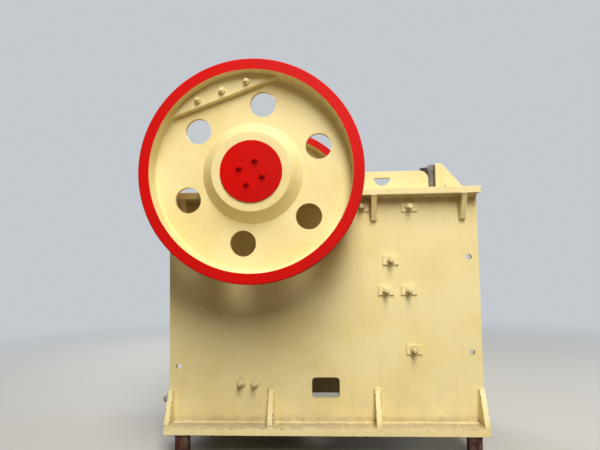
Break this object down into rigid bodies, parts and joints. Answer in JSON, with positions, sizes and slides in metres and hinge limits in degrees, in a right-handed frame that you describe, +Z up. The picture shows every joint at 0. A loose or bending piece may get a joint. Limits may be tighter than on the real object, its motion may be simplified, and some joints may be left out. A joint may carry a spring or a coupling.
{
  "type": "jaw crusher",
  "caption": "Single-toggle jaw crusher with a welded plate frame, a swing jaw on a turning shaft and two heavy rimmed wheels, on short posts.",
  "frame": {"origin": "on the ground, under the middle of the machine's overall box", "axes": "+X towards the ribbed feed end, -X towards the rear and the tension rod, Y across along the shaft, +Z up"},
  "size_m": [2.3806, 2.128, 2.615],
  "materials": {
    "cream_paint": "semi-gloss",
    "dark_casting": "matte",
    "liner_steel": "rough",
    "bare_steel": "satin",
    "spring_steel": "satin",
    "oxide_paint": "matte",
    "wheel_casting": "semi-gloss",
    "red_paint": "semi-gloss"
  },
  "bodies": {
    "frame": {"side_plate_near": "cream_paint", "side_plate_far": "cream_paint", "top_flange_near": "cream_paint", "top_flange_far": "cream_paint", "base_flange_near": "cream_paint", "base_flange_far": "cream_paint", "base_gussets_near": "cream_paint", "base_gussets_far": "cream_paint", "flange_gussets_near": "cream_paint", "flange_gussets_far": "cream_paint", "front_wall": "cream_paint", "front_ribs": "cream_paint", "front_top_gussets": "cream_paint", "rear_wall": "cream_paint", "rear_ribs": "cream_paint", "rear_top_beam": "dark_casting", "toggle_block": "dark_casting", "block_struts": "cream_paint", "toggle_plate": "dark_casting", "tension_rod": "bare_steel", "rod_spring": "spring_steel", "rod_fittings": "bare_steel", "swing_jaw": "dark_casting", "swing_jaw_liner": "liner_steel", "liner_clamp": "dark_casting", "fixed_jaw_liner": "liner_steel", "liner_ledge": "cream_paint", "cheek_plates_near": "liner_steel", "cheek_plates_far": "liner_steel", "bearing_saddle_near": "cream_paint", "bearing_saddle_far": "cream_paint", "bearing_cap_near": "cream_paint", "bearing_cap_far": "cream_paint", "bearing_covers": "cream_paint", "main_bearings": "bare_steel", "jaw_bearings": "bare_steel", "plate_bolts_near": "cream_paint", "plate_bolts_far": "cream_paint", "support_posts": "oxide_paint"},
    "rotor": {"shaft": "bare_steel", "wheel_near": "wheel_casting", "wheel_far": "wheel_casting", "hub_caps": "red_paint", "counterweights": "cream_paint"}
  },
  "joints": [
    {"name": "shaft_spin", "type": "hinge", "parent": "frame", "child": "rotor", "pos_m": [-0.30467, 0, 1.915], "axis": [0, 1, 0], "continuous": true}
  ]
}
